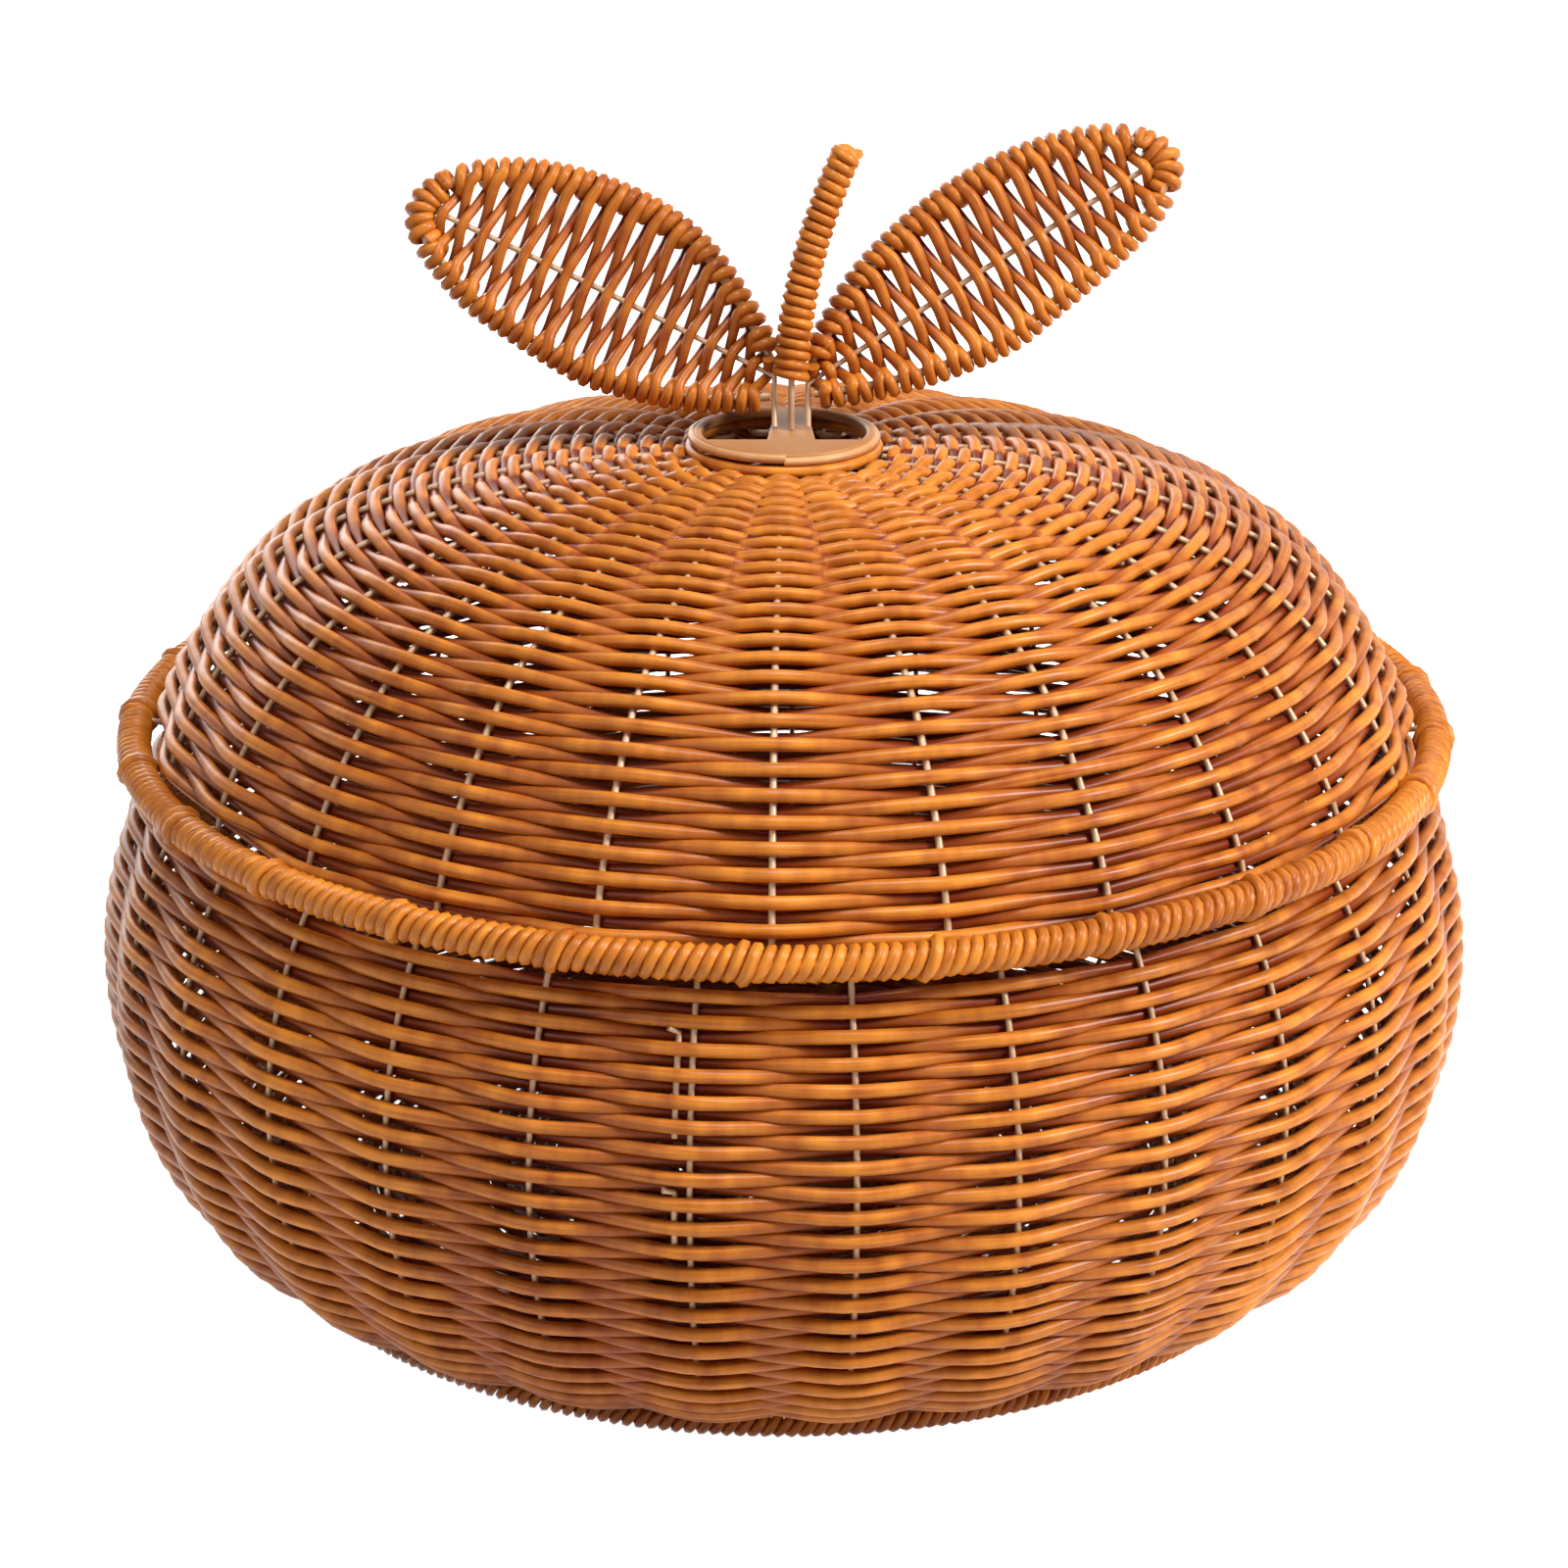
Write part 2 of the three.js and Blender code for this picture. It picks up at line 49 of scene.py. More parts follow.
def add_node(tree, kind, inputs=None, **settings):
    """A node with its settings, each input set to a value or linked to a socket."""
    node = tree.nodes.new(kind)
    for name, value in settings.items():
        setattr(node, name, value)
    for name, value in (inputs or {}).items():
        if isinstance(value, bpy.types.NodeSocket):
            tree.links.new(value, node.inputs[name])
        else:
            node.inputs[name].default_value = value
    return node


def fresh_tree(owner):
    """The emptied node tree of a material or world."""
    owner.use_nodes = True
    owner.node_tree.nodes.clear()
    return owner.node_tree


camera_data = bpy.data.cameras.new("camera")
camera_data.sensor_width = 36
camera_data.lens = 97.1
camera_data.shift_y = -0.0439
camera = bpy.data.objects.new("camera", camera_data)
camera.location = (0, -0.850, 0.4119)
camera_tilt = 19.49
camera.rotation_euler = (radians(90 - camera_tilt), 0, 0)
scene.collection.objects.link(camera)
scene.camera = camera


def add_lamp(name, place, size, watts):
    """A square lamp that faces the middle of the basket."""
    lamp_data = bpy.data.lights.new(name, "AREA")
    lamp_data.size = size
    lamp_data.energy = watts
    lamp = bpy.data.objects.new(name, lamp_data)
    lamp.location = place
    aim = Vector((0, 0, 0.11)) - lamp.location
    lamp.rotation_euler = aim.to_track_quat("-Z", "Y").to_euler()
    scene.collection.objects.link(lamp)


add_lamp("right_front_lamp", (1.15, -0.45, 0.85), 0.35, 22)
add_lamp("left_fill_lamp", (-0.9, -0.9, 0.9), 0.5, 3.4)
add_lamp("top_lamp", (0.1, -0.35, 1.35), 0.4, 11.8)
add_lamp("back_lamp", (-0.6, 1.35, 0.6), 0.9, 9)


def seen_directly(tree):
    """1 for rays that show the background itself: from the camera, in gloss or through glass."""
    path = add_node(tree, "ShaderNodeLightPath").outputs
    first = add_node(tree, "ShaderNodeMath", {0: path["Is Camera Ray"], 1: path["Is Glossy Ray"]},
                     operation="MAXIMUM").outputs[0]
    return add_node(tree, "ShaderNodeMath", {0: first, 1: path["Is Transmission Ray"]},
                    operation="MAXIMUM").outputs[0]


room = bpy.data.worlds.new("room")
scene.world = room
tree = fresh_tree(room)
ambient = add_node(tree, "ShaderNodeBackground", {"Color": (1, 0.98, 0.96, 1), "Strength": 0.05}).outputs[0]
backdrop = add_node(tree, "ShaderNodeBackground", {"Color": (1, 1, 1, 1), "Strength": 1.0}).outputs[0]
mixed = add_node(tree, "ShaderNodeMixShader", {0: seen_directly(tree), 1: ambient, 2: backdrop}).outputs[0]
add_node(tree, "ShaderNodeOutputWorld", {"Surface": mixed})

floor_paint = bpy.data.materials.new("floor_white")
tree = fresh_tree(floor_paint)
matt = add_node(tree, "ShaderNodeBsdfDiffuse", {"Color": (0.8, 0.8, 0.8, 1)}).outputs[0]
glow = add_node(tree, "ShaderNodeEmission", {
    "Color": (1, 1, 1, 1),
    "Strength": seen_directly(tree),
}).outputs[0]
both = add_node(tree, "ShaderNodeAddShader", {0: matt, 1: glow}).outputs[0]
add_node(tree, "ShaderNodeOutputMaterial", {"Surface": both})
floor_mesh = bpy.data.meshes.new("floor")
floor_mesh.from_pydata([(-3, -3, 0), (3, -3, 0), (3, 3, 0), (-3, 3, 0)], [], [(0, 1, 2, 3)])
floor_mesh.materials.append(floor_paint)
floor = bpy.data.objects.new("floor", floor_mesh)
scene.collection.objects.link(floor)

# Woven wall of the lid
# One round plastic cane, orange-brown and slightly glossy, woven in a spiral of 54 turns in front
# of one wire stake and behind the next. It runs nearly straight from stake to stake.
lid_stakes = 25
lid_rows = 54
lid_first_stake = 96.2
lid_cane_radius = 1.37
stake_to_cane = 0.8
cane_bend = 28
hub_edge = (20.2, 168.73)
shoulder = (104.0, 150.03)
lid_turn = (130.62, 114.09)
lid_foot = (131.35, 111.4)


def arc(start, start_pull, end_pull, end, spans=26):
    """Points of a cubic arc in the half section, in millimetres."""
    points = []
    for i in range(spans + 1):
        t = i / spans
        weights = ((1 - t) ** 3, 3 * t * (1 - t) ** 2, 3 * t * t * (1 - t), t ** 3)
        points.append(tuple(sum(w * p[axis] for w, p in zip(weights, (start, start_pull, end_pull, end)))
                            for axis in (0, 1)))
    return points


def upright(section):
    """The half section stood up in the XZ plane, in metres."""
    return [(r * mm, 0, z * mm) for r, z in section]


lid_section = (arc(hub_edge, (50.2, 170.03), (86, 161.53), shoulder)
               + arc(shoulder, (113, 144.23), (127.02, 126.69), lid_turn)[1:] + [lid_foot])


def connect(tree, socket, term):
    """Sets an input to a number or vector, or links it to a socket."""
    if isinstance(term, bpy.types.NodeSocket):
        tree.links.new(term, socket)
    else:
        socket.default_value = term


def calc(tree, operation, *terms):
    """A maths node on numbers or sockets."""
    node = tree.nodes.new("ShaderNodeMath")
    node.operation = operation
    for socket, term in zip(node.inputs, terms):
        connect(tree, socket, term)
    return node.outputs[0]


def calc_vector(tree, operation, *terms, scale=None):
    """A vector maths node on vectors or sockets."""
    node = tree.nodes.new("ShaderNodeVectorMath")
    node.operation = operation
    for socket, term in zip(node.inputs, terms):
        connect(tree, socket, term)
    if scale is not None:
        connect(tree, node.inputs["Scale"], scale)
    return node.outputs[0]


def tools_for(tree):
    """The three node makers above, for one tree."""
    return partial(add_node, tree), partial(calc, tree), partial(calc_vector, tree)


def start_tree(name, sockets):
    """An empty Geometry Nodes tree with the named inputs, and the sockets that give their values."""
    tree = bpy.data.node_groups.new(name, "GeometryNodeTree")
    tree.interface.new_socket("Geometry", in_out="INPUT", socket_type="NodeSocketGeometry")
    for label, kind in sockets:
        tree.interface.new_socket(label, in_out="INPUT", socket_type="NodeSocket" + kind)
    tree.interface.new_socket("Geometry", in_out="OUTPUT", socket_type="NodeSocketGeometry")
    return tree, tree.nodes.new("NodeGroupInput").outputs


def cane_skin(tree, line, radius, material, sides=8):
    """Ends a tree: a tube along the line that remembers how far along and round the cane a point is."""
    node = partial(add_node, tree)
    length = node("GeometryNodeSplineParameter").outputs["Length"]
    marked = node("GeometryNodeStoreNamedAttribute", {"Geometry": line, "Name": "along", "Value": length},
                  data_type="FLOAT", domain="POINT").outputs[0]
    section = node("GeometryNodeCurvePrimitiveCircle", {"Resolution": sides, "Radius": 1.0}).outputs[0]
    at = node("GeometryNodeInputPosition").outputs[0]
    section = node("GeometryNodeStoreNamedAttribute", {"Geometry": section, "Name": "round", "Value": at},
                   data_type="FLOAT_VECTOR", domain="POINT").outputs[0]
    tube = node("GeometryNodeCurveToMesh", {
        "Curve": marked,
        "Profile Curve": section,
        "Scale": radius,
        "Fill Caps": True,
    }).outputs[0]
    smooth = node("GeometryNodeSetShadeSmooth", {"Geometry": tube, "Shade Smooth": True}).outputs[0]
    solid = node("GeometryNodeRealizeInstances", {"Geometry": smooth}).outputs[0]
    painted = node("GeometryNodeSetMaterial", {"Geometry": solid, "Material": material}).outputs[0]
    node("NodeGroupOutput", {"Geometry": painted})


def grow(name, tree, points, ring=False, marks=None, **inputs):
    """Runs a tree along a line of points and keeps its result as a plain mesh."""
    line = bpy.data.meshes.new(name)
    edges = [(i, i + 1) for i in range(len(points) - 1)]
    if ring:
        edges.append((len(points) - 1, 0))
    line.from_pydata(points, edges, [])
    for label, values in (marks or {}).items():
        line.attributes.new(label, "FLOAT", "POINT").data.foreach_set("value", values)
    piece = bpy.data.objects.new(name, line)
    scene.collection.objects.link(piece)
    shape = piece.modifiers.new("shape", "NODES")
    shape.node_group = tree
    for item in tree.interface.items_tree:
        label = item.name.replace(" ", "_").lower()
        if item.item_type == "SOCKET" and item.in_out == "INPUT" and label in inputs:
            shape[item.identifier] = inputs[label]
    view = bpy.context.evaluated_depsgraph_get()
    made = bpy.data.meshes.new_from_object(piece.evaluated_get(view), preserve_all_data_layers=True,
                                           depsgraph=view)
    piece.modifiers.clear()
    piece.data = made
    return piece


def fit(piece, body, slot, *nodes):
    """Hangs a finished piece on its body in place of the plain solids."""
    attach(piece, body)
    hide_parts(*nodes)


woven_wall, given = start_tree("woven wall", [
    ("Stakes", "Int"), ("Rows", "Int"), ("First Stake", "Float"), ("Start Gap", "Float"),
    ("End Gap", "Float"), ("Stand Off", "Float"), ("Cane Radius", "Float"), ("Drift", "Float"),
    ("Unevenness", "Float"), ("Soft Bend", "Float"), ("Seed", "Int"), ("Cane", "Material"),
])
node, maths, vector = tools_for(woven_wall)

# Two points are laid per stake: one beside it and one half way to the next.
section_line = node("GeometryNodeMeshToCurve", {"Mesh": given["Geometry"]}).outputs[0]
index = node("GeometryNodeInputIndex").outputs[0]
passed = maths("MULTIPLY", index, 0.5)
turns = maths("DIVIDE", passed, given["Stakes"])
share = maths("DIVIDE", turns, given["Rows"])
angle = maths("MULTIPLY_ADD", turns, tau, given["First Stake"])

# Rows drift together up and down in wide waves, and each pass a little by itself.
wave_place = node("ShaderNodeCombineXYZ", {
    "X": maths("COSINE", angle),
    "Y": maths("SINE", angle),
    "Z": maths("MULTIPLY", share, 4.0),
}).outputs[0]
wave = node("ShaderNodeTexNoise", {"Vector": wave_place, "Scale": 2.3, "Detail": 1.0}).outputs[0]
loose = maths("MULTIPLY", maths("SUBTRACT", wave, 0.5), given["Drift"])
chance = node("FunctionNodeRandomValue", {"ID": index, "Seed": given["Seed"]}, data_type="FLOAT").outputs[1]
nudge = maths("MULTIPLY", maths("SUBTRACT", chance, 0.5), given["Unevenness"])

# The place along the half section, and the step off it, in front of a stake or behind it.
length = node("GeometryNodeCurveLength", {"Curve": section_line}).outputs[0]
woven_length = maths("SUBTRACT", maths("SUBTRACT", length, given["Start Gap"]), given["End Gap"])
place = maths("MULTIPLY_ADD", share, woven_length, given["Start Gap"])
place = maths("ADD", place, maths("ADD", loose, nudge))
sample = node("GeometryNodeSampleCurve", {"Curves": section_line, "Length": place}, mode="LENGTH").outputs
outward = vector("CROSS_PRODUCT", sample["Tangent"], (0, 1, 0))
side = maths("COSINE", maths("MULTIPLY", passed, pi))
step_off = vector("SCALE", outward, scale=maths("MULTIPLY", side, given["Stand Off"]))
at_wall = vector("ADD", sample["Position"], step_off)

# Between two stakes the cane takes most of the short way, along the chord.
chord_share = 0.85
between = maths("SUBTRACT", 1.0, maths("ABSOLUTE", side))
half_step = maths("DIVIDE", pi, given["Stakes"])
chord_depth = maths("SUBTRACT", 1.0, maths("COSINE", half_step))
chord_depth = maths("MULTIPLY", maths("MULTIPLY", between, chord_depth), chord_share)
pull = node("ShaderNodeCombineXYZ", {"X": maths("SUBTRACT", 1.0, chord_depth), "Y": 1.0, "Z": 1.0}).outputs[0]
at_wall = vector("MULTIPLY", at_wall, pull)
at_wall = node("ShaderNodeVectorRotate", {"Vector": at_wall, "Angle": angle},
               rotation_type="Z_AXIS").outputs[0]

count = maths("MULTIPLY_ADD", maths("MULTIPLY", given["Stakes"], given["Rows"]), 2.0, 1.0)
spiral = node("GeometryNodeMeshLine", {"Count": count}).outputs[0]
spiral = node("GeometryNodeSetPosition", {"Geometry": spiral, "Position": at_wall}).outputs[0]
# Painted shade: each pass gets a share from 0 in front of a stake to 1 behind it, and this share darkens its
# colour.
tucked = maths("MULTIPLY_ADD", side, -0.5, 0.5)
spiral = node("GeometryNodeStoreNamedAttribute", {"Geometry": spiral, "Name": "tucked", "Value": tucked},
              data_type="FLOAT", domain="POINT").outputs[0]
spiral = node("GeometryNodeMeshToCurve", {"Mesh": spiral}).outputs[0]
spiral = node("GeometryNodeFilletCurve", {
    "Curve": spiral,
    "Count": 3,
    "Radius": given["Soft Bend"],
    "Limit Radius": True,
}, mode="POLY").outputs[0]
cane_skin(woven_wall, spiral, given["Cane Radius"], given["Cane"])

# The cane's colour: fine lengthwise grain, slow patches along it, clouds over the whole basket, and
# painted shade that darkens the passes behind the stakes and the leaves' hidden passes toward Deep.
cane_streaks = bpy.data.node_groups.new("cane streaks", "ShaderNodeTree")
for label, kind in (("Bright", "Color"), ("Deep", "Color"), ("Patchiness", "Float")):
    cane_streaks.interface.new_socket(label, in_out="INPUT", socket_type="NodeSocket" + kind)
for label, kind in (("Color", "Color"), ("Height", "Float"), ("Roughness", "Float")):
    cane_streaks.interface.new_socket(label, in_out="OUTPUT", socket_type="NodeSocket" + kind)
given = cane_streaks.nodes.new("NodeGroupInput").outputs
node, maths, vector = tools_for(cane_streaks)
along = node("ShaderNodeAttribute", attribute_name="along").outputs["Fac"]
around = node("ShaderNodeAttribute", attribute_name="round").outputs["Vector"]
lengthwise = node("ShaderNodeCombineXYZ", {"Z": maths("MULTIPLY", along, 60.0)}).outputs[0]
grain_place = vector("ADD", vector("SCALE", around, scale=1.6), lengthwise)
grain = node("ShaderNodeTexNoise", {"Vector": grain_place, "Scale": 1.0, "Detail": 3.0}).outputs[0]
patch = node("ShaderNodeTexNoise", {"W": maths("MULTIPLY", along, 34.0), "Detail": 2.0},
             noise_dimensions="1D").outputs[0]
where = node("ShaderNodeTexCoord").outputs["Object"]
cloud = node("ShaderNodeTexNoise", {"Vector": where, "Scale": 14.0, "Detail": 1.0}).outputs[0]
blotches = maths("ADD", maths("SUBTRACT", patch, 0.5), maths("SUBTRACT", cloud, 0.5))
blotches = maths("MULTIPLY", blotches, given["Patchiness"])
tone = maths("ADD", blotches, maths("MULTIPLY_ADD", grain, 1.1, 0.08))
# Painted shade: the share stored on the cane darkens the tone toward Deep, in place of shadow in the
# recesses.
tucked = node("ShaderNodeAttribute", attribute_name="tucked").outputs["Fac"]
tone = maths("MULTIPLY", tone, maths("MULTIPLY_ADD", tucked, -0.95, 1.0))
tone = node("ShaderNodeClamp", {"Value": tone}).outputs[0]
colour = node("ShaderNodeMix", {0: tone, 6: given["Deep"], 7: given["Bright"]}, data_type="RGBA").outputs[2]
node("NodeGroupOutput", {
    "Color": colour,
    "Height": grain,
    "Roughness": maths("MULTIPLY_ADD", grain, 0.16, 0.27),
})


def cane_material(name, bright, deep, patchiness):
    """Plastic cane: a drawn strand with lengthwise streaks and a soft shine."""
    material = bpy.data.materials.new(name)
    tree = fresh_tree(material)
    streaks = tree.nodes.new("ShaderNodeGroup")
    streaks.node_tree = cane_streaks
    streaks.inputs["Bright"].default_value = (*bright, 1)
    streaks.inputs["Deep"].default_value = (*deep, 1)
    streaks.inputs["Patchiness"].default_value = patchiness
    height = streaks.outputs["Height"]
    bump = add_node(tree, "ShaderNodeBump", {"Height": height, "Strength": 0.25, "Distance": 0.0003})
    skin = add_node(tree, "ShaderNodeBsdfPrincipled", {
        "Base Color": streaks.outputs["Color"],
        "Roughness": streaks.outputs["Roughness"],
        "Normal": bump.outputs[0],
        "Specular IOR Level": 0.25,
    })
    add_node(tree, "ShaderNodeOutputMaterial", {"Surface": skin.outputs[0]})
    return material


orange_cane = cane_material("streaked_orange_cane", (0.71, 0.24, 0.024), (0.21, 0.021, 0.001), 0.9)

fit(grow("lid_weave", woven_wall, upright(lid_section),
         stakes=lid_stakes, rows=lid_rows, first_stake=radians(lid_first_stake),
         start_gap=1.2 * mm, end_gap=0.0, stand_off=(stake_to_cane + lid_cane_radius) * mm,
         cane_radius=lid_cane_radius * mm, drift=1.1 * mm, unevenness=0.35 * mm,
         soft_bend=cane_bend * mm, seed=3, cane=orange_cane),
    "lid", "orange_cane", "lid_weaver")

# Woven wall and base of the bowl
# The same cane in 46 turns from the rim over the belly to the foot ring, and in 36 turns across
# the flat base until it lies under the edge of its centre plate.
bowl_stakes = 29
bowl_first_stake = 89.2
bowl_cane_radius = 1.38
base_cane_radius = 1.4
base_height = 7.5
belly = (143.2, 63.0)
bowl_top = (131.7, 104.5)
bowl_foot = (112.0, base_height)
base_plate_radius = 24.5
under_plate = 1.5
bowl_section = (arc(bowl_top, (138.5, 93.5), (143.2, 80), belly)
                + arc(belly, (143.2, 35), (129, 9), bowl_foot)[1:])
base_section = [bowl_foot, (base_plate_radius - under_plate, base_height)]
bowl_weaving = dict(stakes=bowl_stakes, first_stake=radians(bowl_first_stake),
                    stand_off=(stake_to_cane + bowl_cane_radius) * mm, soft_bend=cane_bend * mm,
                    cane=orange_cane)

fit(grow("bowl_weave", woven_wall, upright(bowl_section), rows=46, start_gap=1.2 * mm, end_gap=0.2 * mm,
         cane_radius=bowl_cane_radius * mm, drift=1.0 * mm, unevenness=0.4 * mm, seed=7, **bowl_weaving),
    "bowl", "orange_cane", "bowl_weaver")
fit(grow("base_weave", woven_wall, upright(base_section), rows=36, start_gap=0.2 * mm, end_gap=0.6 * mm,
         cane_radius=base_cane_radius * mm, drift=0.6 * mm, unevenness=0.3 * mm, seed=11, **bowl_weaving),
    "bowl", "orange_cane", "base_weaver")

# Wire stakes
# Bare pale wire, bent like hairpins: each wire makes two neighbouring stakes and turns back at the
# hub. One single wire in each half makes the number odd. Two spare ends are hooked over the cane.
stake_radius = 0.72
bowl_stake_radius = 0.64
bent_wires, given = start_tree("bent wires", [
    ("Copies", "Int"), ("Step", "Float"), ("First", "Float"), ("Wire Radius", "Float"), ("Wire", "Material"),
])
node, maths, vector = tools_for(bent_wires)
line = node("GeometryNodeMeshToCurve", {"Mesh": given["Geometry"]}).outputs[0]
copy_index = node("GeometryNodeInputIndex").outputs[0]
turn = node("ShaderNodeCombineXYZ", {"Z": maths("MULTIPLY_ADD", copy_index, given["Step"], given["First"])})
centres = node("GeometryNodeMeshLine", {"Count": given["Copies"], "Offset": (0, 0, 0)}).outputs[0]
copies = node("GeometryNodeInstanceOnPoints", {
    "Points": centres,
    "Instance": line,
    "Rotation": turn.outputs[0],
}).outputs[0]
copies = node("GeometryNodeRealizeInstances", {"Geometry": copies}).outputs[0]
cane_skin(bent_wires, copies, given["Wire Radius"], given["Wire"], sides=7)

pale_wire = bpy.data.materials.new("tarnished_pale_wire")
tree = fresh_tree(pale_wire)
where = add_node(tree, "ShaderNodeTexCoord").outputs["Object"]
tarnish = add_node(tree, "ShaderNodeTexNoise", {"Vector": where, "Scale": 160.0, "Detail": 3.0}).outputs[0]
tint = add_node(tree, "ShaderNodeMix", {
    0: tarnish,
    6: (0.40, 0.22, 0.10, 1),
    7: (0.74, 0.52, 0.32, 1),
}, data_type="RGBA")
wire_bump = add_node(tree, "ShaderNodeBump", {"Height": tarnish, "Strength": 0.15, "Distance": 0.0002})
wire_skin = add_node(tree, "ShaderNodeBsdfPrincipled", {
    "Base Color": tint.outputs[2],
    "Roughness": calc(tree, "MULTIPLY_ADD", tarnish, 0.25, 0.28),
    "Metallic": 0.15,
    "Normal": wire_bump.outputs[0],
})
add_node(tree, "ShaderNodeOutputMaterial", {"Surface": wire_skin.outputs[0]})


def turned(section, angle):
    """A half section in millimetres turned to an angle round the basket's axis, in metres."""
    return [(r * cos(angle) * mm, r * sin(angle) * mm, z * mm) for r, z in section]


def hairpin(section, step):
    """Two neighbouring stakes from the rim to the hub, joined by a round bend at the hub."""
    hub_r, hub_z = section[-1]
    bend_radius = hub_r * sin(step / 2)
    middle = hub_r * cos(step / 2)
    bend = []
    for i in range(1, 8):
        turn_angle = pi * i / 8
        inward = middle - bend_radius * sin(turn_angle)
        sideways = -bend_radius * cos(turn_angle)
        x = inward * cos(step / 2) - sideways * sin(step / 2)
        y = inward * sin(step / 2) + sideways * cos(step / 2)
        bend.append((x * mm, y * mm, hub_z * mm))
    return turned(section, 0) + bend + turned(section[::-1], step)


def bend_wire(name, line, radius, material, ring=False):
    """One strand of wire or cane along a line, where the line lies."""
    return grow(name, bent_wires, line, ring=ring, copies=1, step=0.0, first=0.0,
                wire_radius=radius * mm, wire=material)


def set_stakes(half, section, first_stake, count, radius):
    """All stakes of the lid or the bowl: the hairpins, and the single wire that makes them odd."""
    step = tau / count
    hairpins = count // 2
    wires = grow(f"{half}_stake_wires", bent_wires, hairpin(section, step), copies=hairpins, step=2 * step,
                 first=radians(first_stake), wire_radius=radius * mm, wire=pale_wire)
    fit(wires, half, "pale_wire", *[f"{half}_stake_wire_{i:02d}" for i in range(1, hairpins + 1)])
    single = grow(f"{half}_single_stake_wire", bent_wires, turned(section, 0), copies=1, step=0.0,
                  first=radians(first_stake) - step, wire_radius=radius * mm, wire=pale_wire)
    fit(single, half, "pale_wire", f"{half}_stake_wire_{hairpins + 1:02d}")


in_lid_rim = (135.5, 112.3)
in_bowl_rim = (130.9, 106.0)
at_base_plate = (base_plate_radius, base_height)
set_stakes("lid", [in_lid_rim] + lid_section[::-1], lid_first_stake, lid_stakes, stake_radius)
set_stakes("bowl", [in_bowl_rim] + bowl_section + [at_base_plate], bowl_first_stake, bowl_stakes,
           bowl_stake_radius)


def down_the_bowl(distance, lift=0.0):
    """A point of the wall at a length from the rim, or a little outside it."""
    for (r0, z0), (r1, z1) in zip(bowl_section, bowl_section[1:]):
        span = Vector((r1 - r0, z1 - z0))
        if distance <= span.length:
            across = span.normalized() * distance
            out = Vector((-span.y, span.x)).normalized() * lift
            return (r0 + across.x + out.x, z0 + across.y + out.y)
        distance -= span.length
    return bowl_section[-1]


spare_stake = 14
spare_angle = bowl_first_stake + spare_stake * 360 / bowl_stakes - 1.15
hook_turn = 0.75
hook_lift = 1.6
shank_lift = 0.3
for number, (top, bottom) in enumerate(((9.0, 28.5), (39.0, 52.5)), 1):
    hook = turned([down_the_bowl(top - 0.8, hook_lift)], radians(spare_angle - hook_turn))
    shank = turned([down_the_bowl(top + (bottom - top) * i / 8, shank_lift) for i in range(9)],
                   radians(spare_angle))
    fit(bend_wire(f"bowl_spare_wire_end_{number}", hook + shank, bowl_stake_radius, pale_wire),
        "bowl", "pale_wire", "bowl_stake_wire_08")

# Wrapped rims and foot ring
# A ring of wire wound all the way round with the same cane, coil against coil. The coils lean a
# little, and the ones over a stake stand proud. The bowl's slim rim hides inside the lid's rim.
wound_cane, given = start_tree("wound cane", [
    ("Coils", "Int"), ("Steps", "Int"), ("Start Radius", "Float"), ("End Radius", "Float"),
    ("Lean", "Float"), ("Up", "Vector"), ("Bumps", "Int"), ("First Bump", "Float"),
    ("Bump Height", "Float"), ("Unevenness", "Float"), ("Closed", "Bool"), ("Cane Radius", "Float"),
    ("Seed", "Float"), ("Cane", "Material"),
])
node, maths, vector = tools_for(wound_cane)

# The place along the core, which leans to and fro once in each coil.
core = node("GeometryNodeMeshToCurve", {"Mesh": given["Geometry"]}).outputs[0]
index = node("GeometryNodeInputIndex").outputs[0]
points = maths("MULTIPLY", given["Coils"], given["Steps"])
share = maths("DIVIDE", index, points)
coil = maths("DIVIDE", index, given["Steps"])
angle = maths("MULTIPLY", coil, tau)
lean = maths("DIVIDE", maths("MULTIPLY", maths("SINE", angle), given["Lean"]), given["Coils"])
leaned = maths("ADD", share, lean)
factor = node("GeometryNodeSwitch", {
    "Switch": given["Closed"],
    "False": node("ShaderNodeClamp", {"Value": leaned}).outputs[0],
    "True": maths("WRAP", leaned, 1.0, 0.0),
}, input_type="FLOAT").outputs[0]
sample = node("GeometryNodeSampleCurve", {"Curves": core, "Factor": factor}, mode="FACTOR").outputs
beside = vector("NORMALIZE", vector("CROSS_PRODUCT", sample["Tangent"], given["Up"]))
above = vector("CROSS_PRODUCT", beside, sample["Tangent"])

# The reach from the core: tapered, proud over the stakes' ends and a little uneven.
beat = maths("SUBTRACT", maths("MULTIPLY", share, given["Bumps"]), given["First Bump"])
beat = maths("COSINE", maths("MULTIPLY", beat, tau))
beat = node("ShaderNodeMapRange", {"Value": beat, "From Min": 0.93, "From Max": 0.985},
            interpolation_type="SMOOTHSTEP").outputs[0]
wobble = node("ShaderNodeTexNoise", {"W": maths("ADD", maths("MULTIPLY", coil, 0.7), given["Seed"])},
              noise_dimensions="1D").outputs[0]
taper = maths("SUBTRACT", given["End Radius"], given["Start Radius"])
radius = maths("MULTIPLY_ADD", taper, share, given["Start Radius"])
radius = maths("MULTIPLY_ADD", beat, given["Bump Height"], radius)
radius = maths("MULTIPLY_ADD", maths("SUBTRACT", wobble, 0.5), given["Unevenness"], radius)
reach = vector("ADD", vector("SCALE", beside, scale=maths("COSINE", angle)),
               vector("SCALE", above, scale=maths("SINE", angle)))
at_coil = vector("ADD", sample["Position"], vector("SCALE", reach, scale=radius))

